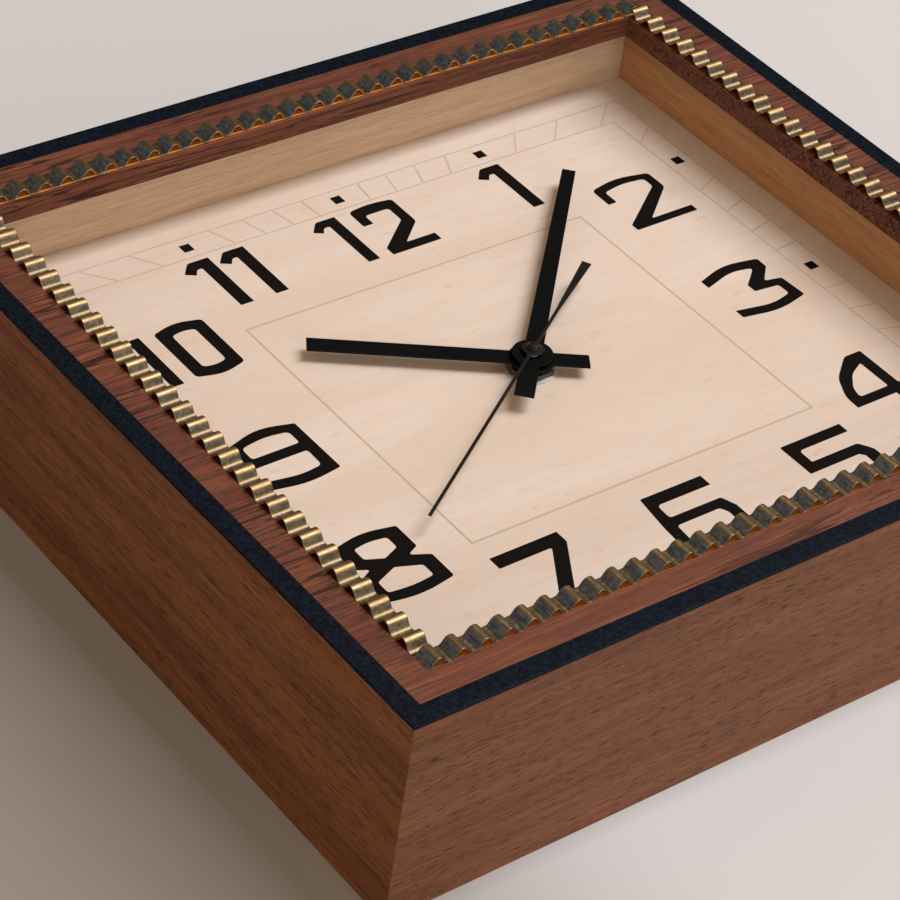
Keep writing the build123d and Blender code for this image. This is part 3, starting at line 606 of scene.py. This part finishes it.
# Each numeral is an outline and the holes in it. In order they are the two of twelve, then two
# to nine, and the nought of ten. The same one is then added five times, each moved into place.
one = [
    (-47.6, 70.9, 1.6), (-42.3, 70.9, 0.2), (-42.3, 52.1, 0.1), (-45.2, 52.1, 0.1),
    (-45.2, 68.5, 0.4), (-47.1, 68.5, 0.9), (-48.4, 66.8, 0.1), (-50.2, 67.9, 0.1),
]
numerals = [
    [[
        (-0.9, 71.0, 1.8), (5.5, 71.8, 40), (12.1, 70.9, 1.0), (12.1, 60.6, 1.8),
        (4.6, 54.4, 0.3), (13.2, 54.4, 0.1), (13.2, 51.6, 0.1), (-1.3, 51.6, 0.2),
        (-1.3, 54.5, 0.5), (9.1, 62.6, 1.0), (9.1, 68.0, 1.0), (2.0, 68.0, 1.0),
        (2.0, 64.4, 0.2), (-0.9, 64.4, 0.2),
    ]],
    [[
        (59.6, 50.8, 1.8), (68.5, 52.6, 40), (78.3, 50.6, 1.2), (78.3, 43.6, 2.2),
        (66.7, 34.5, 0.3), (79.2, 34.5, 0.1), (79.2, 31.6, 0.1), (59.2, 31.6, 0.3),
        (59.2, 34.4, 0.6), (75.1, 45.4, 1.2), (75.1, 48.6, 1.2), (68.5, 49.4, 30),
        (62.7, 48.3, 1.2), (62.7, 43.6, 0.2), (59.6, 43.6, 0.2),
    ]],
    [[
        (59.3, 7.6, 0.3), (68.5, 10.4, 40), (78.4, 8.5, 0.9), (78.3, 5.0, 1.0), (73.8, 0.6, 0.5),
        (78.6, -0.4, 1.0), (79.1, -8.3, 0.9), (69.5, -10.4, 40), (59.0, -8.5, 0.3),
        (59.0, -5.6, 0.2), (69.5, -7.6, 30), (75.9, -6.2, 1.2), (75.8, -2.4, 0.9),
        (68.8, -1.7, 0.4), (68.8, 1.1, 0.4), (74.9, 6.0, 0.8), (68.5, 7.3, 30), (59.3, 4.7, 0.2),
    ]],
    [[
        (75.3, -32.3, 0.4), (75.3, -45.8, 0.1), (78.2, -45.8, 0.1), (78.2, -48.4, 0.1),
        (75.3, -48.4, 0.1), (75.3, -51.8, 0.1), (72.3, -51.8, 0.1), (72.3, -48.4, 0.1),
        (59.9, -48.4, 0.3), (60.1, -44.0, 8), (63.4, -37.8, 9), (70.4, -32.3, 2.5),
    ], [
        (72.3, -35.6, 0.4), (72.3, -45.8, 0.6), (62.9, -45.8, 0.8), (63.7, -42.3, 6),
        (67.4, -38.0, 7),
    ]],
    [[
        (33.0, -51.0, 0.6), (51.3, -51.0, 0.1), (51.3, -53.8, 0.1), (36.1, -53.8, 1.2),
        (36.1, -58.5, 0.3), (50.2, -58.5, 1.4), (52.5, -61.8, 1.6), (52.5, -68.3, 1.0),
        (42.5, -71.0, 40), (33.0, -69.4, 0.3), (33.0, -66.5, 0.2), (42.5, -67.9, 30),
        (49.1, -67.0, 1.3), (49.2, -62.6, 0.8), (48.0, -61.4, 0.8), (33.1, -61.4, 0.3),
    ]],
    [[
        (-7.9, -49.6, 0.5), (9.8, -49.7, 0.1), (9.8, -53.1, 0.1), (-5.8, -53.0, 1.3),
        (-6.0, -57.7, 0.9), (8.9, -57.8, 0.9), (10.4, -61.5, 1.6), (10.4, -67.8, 0.9),
        (0.4, -69.9, 40), (-9.9, -67.9, 0.9), (-9.3, -59.5, 30),
    ], [
        (-6.3, -60.5, 1.0), (6.3, -60.5, 1.2), (7.3, -62.5, 1.2), (7.3, -66.3, 1.0),
        (0.4, -67.0, 30), (-6.7, -66.4, 1.0),
    ]],
    [[
        (-50.0, -49.0, 0.1), (-31.3, -49.0, 0.3), (-31.3, -52.7, 0.6), (-41.3, -68.5, 0.1),
        (-45.7, -68.5, 0.1), (-35.6, -52.8, 0.5), (-50.0, -52.8, 0.1),
    ]],
    [[
        (-77.8, -30.3, 0.8), (-69.5, -28.6, 40), (-61.2, -30.4, 0.7), (-61.2, -37.8, 0.5),
        (-64.6, -39.4, 0.5), (-59.9, -41.7, 0.6), (-59.9, -49.5, 0.9), (-69.5, -51.1, 40),
        (-79.1, -49.4, 0.9), (-79.1, -41.7, 0.6), (-74.4, -39.4, 0.5), (-77.8, -37.8, 0.5),
    ], [
        (-74.0, -32.3, 1.0), (-69.6, -31.7, 30), (-65.1, -32.4, 1.0), (-65.1, -36.2, 0.9),
        (-69.6, -38.0, 0.8), (-74.0, -36.1, 0.9),
    ], [
        (-75.7, -43.5, 0.9), (-69.6, -41.1, 1.0), (-63.5, -43.5, 0.9), (-63.5, -47.4, 0.9),
        (-69.6, -48.0, 30), (-75.7, -47.3, 0.9),
    ]],
    [[
        (-78.0, 9.0, 0.8), (-69.0, 11.7, 40), (-60.2, 9.3, 0.6), (-60.0, -7.9, 0.6),
        (-69.0, -9.2, 40), (-78.2, -7.4, 0.3), (-78.2, -4.7, 0.2), (-69.0, -6.3, 30),
        (-63.0, -5.6, 1.4), (-62.9, 0.4, 0.9), (-78.0, 0.4, 0.8),
    ], [
        (-75.9, 7.6, 1.5), (-69.0, 8.7, 30), (-62.9, 7.7, 1.5), (-62.9, 3.1, 0.8),
        (-75.9, 3.1, 1.0),
    ]],
    [[
        (-69.9, 51.4, 1.3), (-63.5, 53.1, 40), (-57.1, 51.4, 1.3), (-57.1, 33.9, 1.3),
        (-63.5, 32.1, 40), (-69.9, 33.9, 1.3),
    ], [
        (-66.8, 49.3, 1.2), (-63.5, 50.0, 30), (-60.1, 49.3, 1.2), (-60.1, 36.1, 1.2),
        (-63.5, 35.4, 30), (-66.8, 36.1, 1.2),
    ]],
]
for shift_x, shift_z in ((0, 0), (10, 0), (37, 0), (87.7, 0), (-31.6, -18.8)):
    numerals.append([[(x + shift_x, z + shift_z, radius) for x, z, radius in one]])
# How far each numeral's strokes are widened on either side, in the order of the list.
weights = (0, -0.25, 0, 0.15, 0.12, 0.04, -0.04, 0.08, 0.15, 0.2, 0.35, 0.35, 0.2, 0.32, 0.15)
figures = bmesh.new()
for weight, loops in zip(weights, numerals):
    edges = []
    for corners in loops:
        amount = weight if corners is loops[0] else -weight
        outline = rounded(spread(corners, amount))
        ring = [ink_vertex(figures, spot.x * MM, spot.y * MM) for spot in outline]
        edges += [figures.edges.new((ring[k - 1], ring[k])) for k in range(len(ring))]
    bmesh.ops.triangle_fill(figures, use_beauty=True, use_dissolve=False, edges=edges)
print_piece("numerals", figures, black_ink)

# Hands: flat stamped steel painted satin black, with softened edges, pressed on their tubes and
# arbor one above another. The second hand's paint is a little browner and glossier.
paint = Shader("hand_black")
paint_place = paint.place()
orange_peel = paint.noise(paint_place, 1400.0, detail=2.0)
rubbed = paint.noise(paint_place, 150.0)
hand_black = paint.surface(
    Base_Color=paint.mix(rubbed, tint("060607"), tint("0c0c0d")),
    Roughness=0.42 + rubbed * 0.14,
    Normal=paint.bump(orange_peel, 0.01 * MM, 0.4),
    Specular_IOR_Level=0.12,
)
for hand in ("hour", "minute"):
    eased(hand + "_hand", hand_black, 0.12 * MM, segments=3, body=hand + "_arbor")
thin = Shader("second_hand_black")
thin_rubbed = thin.noise(thin.place(), 150.0)
thin_black = thin.surface(
    Base_Color=thin.mix(thin_rubbed, tint("16120f"), tint("211a16")),
    Roughness=0.34 + thin_rubbed * 0.14,
    Normal=thin.bump(thin_rubbed, 0.01 * MM, 0.3),
    Specular_IOR_Level=0.4,
)
eased("second_hand", thin_black, 0.08 * MM, segments=3, body="second_arbor")

# Nut and washer: a nickel-plated brass nut over a zinc-plated steel washer. The nut is screwed on
# the movement's threaded bush from the front and clamps the dial against the movement.
nickel = Shader("nickel")
nickel_wear = nickel.noise(nickel.place(), 700.0)
nickel_plate = nickel.surface(
    Base_Color=nickel.mix(nickel_wear, tint("4a4640"), tint("68635b")),
    Metallic=1.0,
    Roughness=0.18 + nickel_wear * 0.18,
    Normal=nickel.bump(nickel_wear, 0.01 * MM, 0.4),
)
zinc = Shader("steel")
zinc_wear = zinc.noise(zinc.place(), 500.0, detail=4.0)
zinc_plate = zinc.surface(
    Base_Color=zinc.mix(zinc_wear, tint("c9c9cb"), tint("e2e2e4")),
    Metallic=0.4,
    Roughness=0.50 + zinc_wear * 0.2,
    Normal=zinc.bump(zinc_wear, 0.01 * MM, 0.4),
)
eased("shaft_nut", nickel_plate, 0.1 * MM)
eased("shaft_washer", zinc_plate, 0.06 * MM)

# Movement: a black moulded tray and cover with a pale middle plate, pale moulded wheels on their
# arbors, a dark motor casing and a ribbed knob that is pressed on the minute wheel's arbor.


def plastic(name, light, dark, roughness, grain=900.0, relief=0.01 * MM):
    """Moulded plastic with a fine grain and slight unevenness of tone."""
    shader = Shader(name)
    place = shader.place()
    texture = shader.noise(place, grain, roughness=0.6)
    tone = shader.noise(place, 60.0)
    return shader.surface(
        Base_Color=shader.mix(tone, tint(light), tint(dark)),
        Roughness=roughness + texture * 0.16,
        Normal=shader.bump(texture, relief, 0.5),
        Specular_IOR_Level=0.45,
    )


movement_black = plastic("movement_plastic", "1a1a1c", "242427", 0.45, 1500.0, 0.02 * MM)
eased("movement_housing", movement_black, 0.2 * MM)
eased("movement_cover", movement_black, 0.2 * MM)
knob_black = plastic("knob_plastic", "161618", "202022", 0.34)
eased("setting_knob", knob_black, 0.15 * MM, body="minute_idler", sharp_angle=15)
coat("middle_plate", plastic("plate_plastic", "cfcdc4", "c2c0b6", 0.38))
coat("motor_block", plastic("motor_casing", "2b2d31", "383a3f", 0.42))
gear_white = plastic("gear_plastic", "dedbd0", "cfccc0", 0.33)
for wheel in (
    "second_wheel", "third_wheel", "centre_wheel", "minute_wheel", "hour_wheel",
    "minute_pinion", "drive_pinion",
):
    coat(wheel, gear_white)

# Circuit board: a green solder mask over faint copper tracks, held on the middle plate by two
# posts. The quartz crystal's plated can lies beside its chip.
mask = Shader("circuit_board")
mask_place = mask.place()
tracks = mask.ramp(mask.noise(mask_place, 420.0, detail=1.0), 0.50, 0.53)
mask_grain = mask.noise(mask_place, 1500.0, detail=2.0)
solder_mask = mask.surface(
    Base_Color=mask.mix(tracks, tint("12452c"), tint("1d6040")),
    Roughness=0.28 + mask_grain * 0.14,
    Normal=mask.bump(tracks, 0.03 * MM, 0.6),
)
coat("circuit_board", solder_mask)
coat("quartz_crystal", zinc_plate)

# Battery: one round cell in a plain grey sleeve with a golden band at its positive end. It lies
# in the bay under the gear chamber, between its two plated contacts.
band_from, band_full = 14.2 * MM, 14.6 * MM
plus_from, plus_full = 24.4 * MM, 24.6 * MM
minus_from, minus_full = -23.6 * MM, -23.8 * MM
sleeve = Shader("battery_wrap")
sleeve_place = sleeve.place()
sleeve_x = sleeve.measure("X", sleeve_place)
bare_plus = sleeve.ramp(sleeve_x, plus_from, plus_full)
bare_ends = bare_plus + sleeve.ramp(sleeve_x, minus_from, minus_full)
scuffs = sleeve.noise(sleeve_place, 300.0, detail=4.0)
band = sleeve.ramp(sleeve_x, band_from, band_full)
wrap = sleeve.mix(band, tint("3f444c"), tint("b98a3a"))
battery_wrap = sleeve.surface(
    Base_Color=sleeve.mix(bare_ends, wrap, tint("c4c4c2")),
    Metallic=bare_ends * 0.9 + 0.08,
    Roughness=0.24 + scuffs * 0.18,
    Normal=sleeve.bump(scuffs, 0.01 * MM, 0.4),
)
eased("battery", battery_wrap, 0.5 * MM, segments=3)
for end in ("plus", "minus"):
    coat("battery_contact_" + end, nickel_plate)

# Rails: plain pale timber bars behind the dial, butted at the corners and glued inside the case.
# They back the dial board and carry the back panel.
rail_level = wood(
    "rail_level", "x", "c3a27c", "ad8b66", "80603f",
    pore_share=0.5, figure=0.9, sheen=0.6, lined=0.3,
)
rail_upright = wood(
    "rail_upright", "z", "c3a27c", "ad8b66", "80603f",
    pore_share=0.5, figure=0.9, sheen=0.6, lined=0.3,
)
for side in SIDES:
    eased("rail_" + side, rail_level if side in LEVEL_SIDES else rail_upright, 0.2 * MM)

# Back panel: a stained board set into the case against the rails, with a square opening that
# reaches the battery and the setting knob.
back_board = wood(
    "back_board", "x", "8a6349", "6d4a35", "2e1c13",
    pore_share=0.7, figure=0.9, sheen=0.5, lined=0.3, fine=0.9,
)
eased("back_panel", back_board, 0.3 * MM)

# Panel screws: the flat heads of four zinc-plated cross-head screws that hold the panel on the
# level rails, each turned differently. They stand a little proud of the panel.
panel_low, panel_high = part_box("back_panel")
rail_low, rail_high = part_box("rail_top")
screw_x = 80 * MM
screw_z = (panel_high.z - panel_low.z - (rail_high.z - rail_low.z)) / 2
head_radius, head_depth, head_lift, head_taper = 2.9 * MM, 0.5 * MM, 0.1 * MM, 0.9
cross_arm, cross_half, cross_depth = 0.55 * head_radius, 0.45 * MM, 0.4 * MM
first_turn, turn_step = 0.4, 1.1
quarter = [(cross_half, cross_half), (cross_half, cross_arm), (-cross_half, cross_arm)]
cross = quarter + [(-y, x) for x, y in quarter]
cross += [(-x, -y) for x, y in cross]
for number, (side_x, side_z) in enumerate(((-1, -1), (1, -1), (-1, 1), (1, 1))):
    screw = bmesh.new()
    bmesh.ops.create_cone(
        screw, cap_ends=True, segments=32, radius1=head_radius,
        radius2=head_radius * head_taper, depth=head_depth,
    )
    top_face = max(screw.faces, key=lambda face: face.calc_center_median().z)
    bmesh.ops.delete(screw, geom=[top_face], context="FACES_ONLY")
    rim = [edge for edge in screw.edges if edge.is_boundary]
    inner = [screw.verts.new((x, y, head_depth / 2)) for x, y in cross]
    inner_edges = [
        screw.edges.new((inner[k], inner[(k + 1) % len(inner)])) for k in range(len(inner))
    ]
    bmesh.ops.triangle_fill(screw, use_beauty=True, edges=rim + inner_edges)
    walls = bmesh.ops.extrude_edge_only(screw, edges=inner_edges)["geom"]
    sunk = [item for item in walls if isinstance(item, bmesh.types.BMVert)]
    bmesh.ops.translate(screw, verts=sunk, vec=(0, 0, -cross_depth))
    floor_edges = [item for item in walls if isinstance(item, bmesh.types.BMEdge)]
    bmesh.ops.contextual_create(screw, geom=floor_edges)
    bmesh.ops.recalc_face_normals(screw, faces=screw.faces)
    driven = Matrix.Rotation(first_turn + turn_step * number, 4, "Z")
    facing_back = Matrix.Rotation(math.radians(-90), 4, "X")
    spot = (side_x * screw_x, panel_high.y + head_lift, dial_z + side_z * screw_z)
    set_in_place = Matrix.Translation(spot) @ facing_back @ driven
    bmesh.ops.transform(screw, matrix=set_in_place, verts=screw.verts)
    new_piece(f"panel_screw_{number}", screw, zinc_plate, "case", "steel")

# Stage: a pale matt sheet in the plane of the clock's back, standing for the table top, with a
# painted shadow darkening it to the left. It is open behind the clock, and it shows from the front
# only.
case_low, case_high = cad_box
sheet = Shader("stage_sheet")
pale_until, dark_from = -40 * MM, -150 * MM
sheet_tone = sheet.noise(sheet.place(), 3.0, detail=2.0)
sheet_colour = sheet.mix(sheet_tone, tint("c3c8d0"), tint("bfc4cc"))
# Painted shadow: the sheet darkens to the left of the clock, standing in for the case's broad
# shadow.
painted_shadow = sheet.ramp(sheet.measure("X"), pale_until, dark_from)
sheet_colour = sheet.mix(painted_shadow, sheet_colour, tint("888583"))
matt = sheet.node("BsdfDiffuse", inputs={"Color": sheet_colour})
unseen = sheet.node("BsdfTransparent")
behind = sheet.node("NewGeometry", output="Backfacing")
shadow_ray = sheet.node("LightPath", output="Is Shadow Ray")
hidden = sheet.maths("MAXIMUM", behind, shadow_ray)
shown = sheet.node("MixShader", inputs={0: hidden, 1: matt, 2: unseen})
sheet.node("OutputMaterial", inputs={"Surface": shown})
sheet_reach, sheet_inset, sheet_gap = 1.6, 4 * MM, 0.05 * MM
stage_mesh = bmesh.new()
rings = []
for x_low, x_high, z_low, z_high in (
    (-sheet_reach, sheet_reach, -sheet_reach, sheet_reach),
    (
        case_low.x + sheet_inset, case_high.x - sheet_inset,
        case_low.z + sheet_inset, case_high.z - sheet_inset,
    ),
):
    rings.append([
        stage_mesh.verts.new((x, case_high.y - sheet_gap, z))
        for x, z in ((x_low, z_low), (x_high, z_low), (x_high, z_high), (x_low, z_high))
    ])
outer, inner = rings
for k in range(4):
    stage_mesh.faces.new((outer[k - 1], outer[k], inner[k], inner[k - 1]))
for face in stage_mesh.faces:
    face.normal_update()
if stage_mesh.faces[:][0].normal.y > 0:
    bmesh.ops.reverse_faces(stage_mesh, faces=stage_mesh.faces)
stage_data = bpy.data.meshes.new("stage_sheet")
stage_mesh.to_mesh(stage_data)
stage_mesh.free()
stage_sheet = bpy.data.objects.new("stage_sheet", stage_data)
bpy.context.scene.collection.objects.link(stage_sheet)
stage_data.materials.append(sheet.material)

# World: white where the camera sees it, a soft warm light elsewhere, and a dim cool one for
# reflections.
world = bpy.data.worlds.new("studio")
bpy.context.scene.world = world
world.use_nodes = True
sky = Shader("studio", world.node_tree)
camera_ray = sky.node("LightPath", output="Is Camera Ray")
glossy_ray = sky.node("LightPath", output="Is Glossy Ray")
soft = sky.mix(glossy_ray, (0.40, 0.235, 0.10, 1), (0.04, 0.045, 0.055, 1))
sky_colour = sky.mix(camera_ray, soft, (1, 1, 1, 1))
sky_light = sky.node("Background", inputs={"Color": sky_colour})
sky.node("OutputWorld", inputs={"Surface": sky_light})

# Lamps: a wide key from the right in front, fills from below and from the left beside the
# clock, a faint cool one from the upper left, and one for the back. All aim at the dial.
for name, direction, distance, width, height, power, colour in (
    ("key", (0.50, -1.0, -0.12), 2.0, 1.5, 0.55, 39.0, (1.0, 0.97, 0.95)),
    ("below", (-0.2, -0.42, -1.0), 1.6, 0.9, 0.9, 9.8, (1.0, 0.92, 0.82)),
    ("left", (-1.0, -0.22, -0.1), 1.6, 1.0, 1.0, 2.2, (1.0, 0.95, 0.88)),
    ("cool", (-0.65, -0.6, 0.6), 1.8, 1.0, 1.0, 1.0, (0.70, 0.82, 1.0)),
    ("rear", (0.6, 1.0, 0.9), 1.8, 1.0, 1.0, 11.0, (1.0, 1.0, 1.0)),
):
    lamp = bpy.data.lights.new(name, "AREA")
    lamp.energy = power
    lamp.shape = "RECTANGLE"
    lamp.size, lamp.size_y = width, height
    lamp.color = colour
    holder = bpy.data.objects.new(name, lamp)
    bpy.context.scene.collection.objects.link(holder)
    aim = Vector(direction).normalized()
    holder.location = Vector((0, 0, dial_z)) + aim * distance
    holder.rotation_euler = aim.to_track_quat("Z", "Y").to_euler()

# Camera: the photograph's place and direction, found from the dial's and case's straight lines.
# Its right, up and back directions are the columns of its turn.
right = Vector((0.790721, -0.122147, -0.599866))
up = Vector((0.299700, -0.777193, 0.553309))
back = Vector((-0.533797, -0.617293, -0.577936))
eye_place = Vector((-0.422601, -0.451204, -0.333436))
view = bpy.data.cameras.new("camera")
view.sensor_width = 36
view.lens = 130.44
view.clip_start, view.clip_end = 0.02, 20
eye = bpy.data.objects.new("camera", view)
bpy.context.scene.collection.objects.link(eye)
eye_turn = Matrix((right, up, back)).transposed().to_4x4()
eye.matrix_world = Matrix.Translation(eye_place) @ eye_turn
bpy.context.scene.camera = eye
bpy.context.scene.view_settings.view_transform = "Standard"
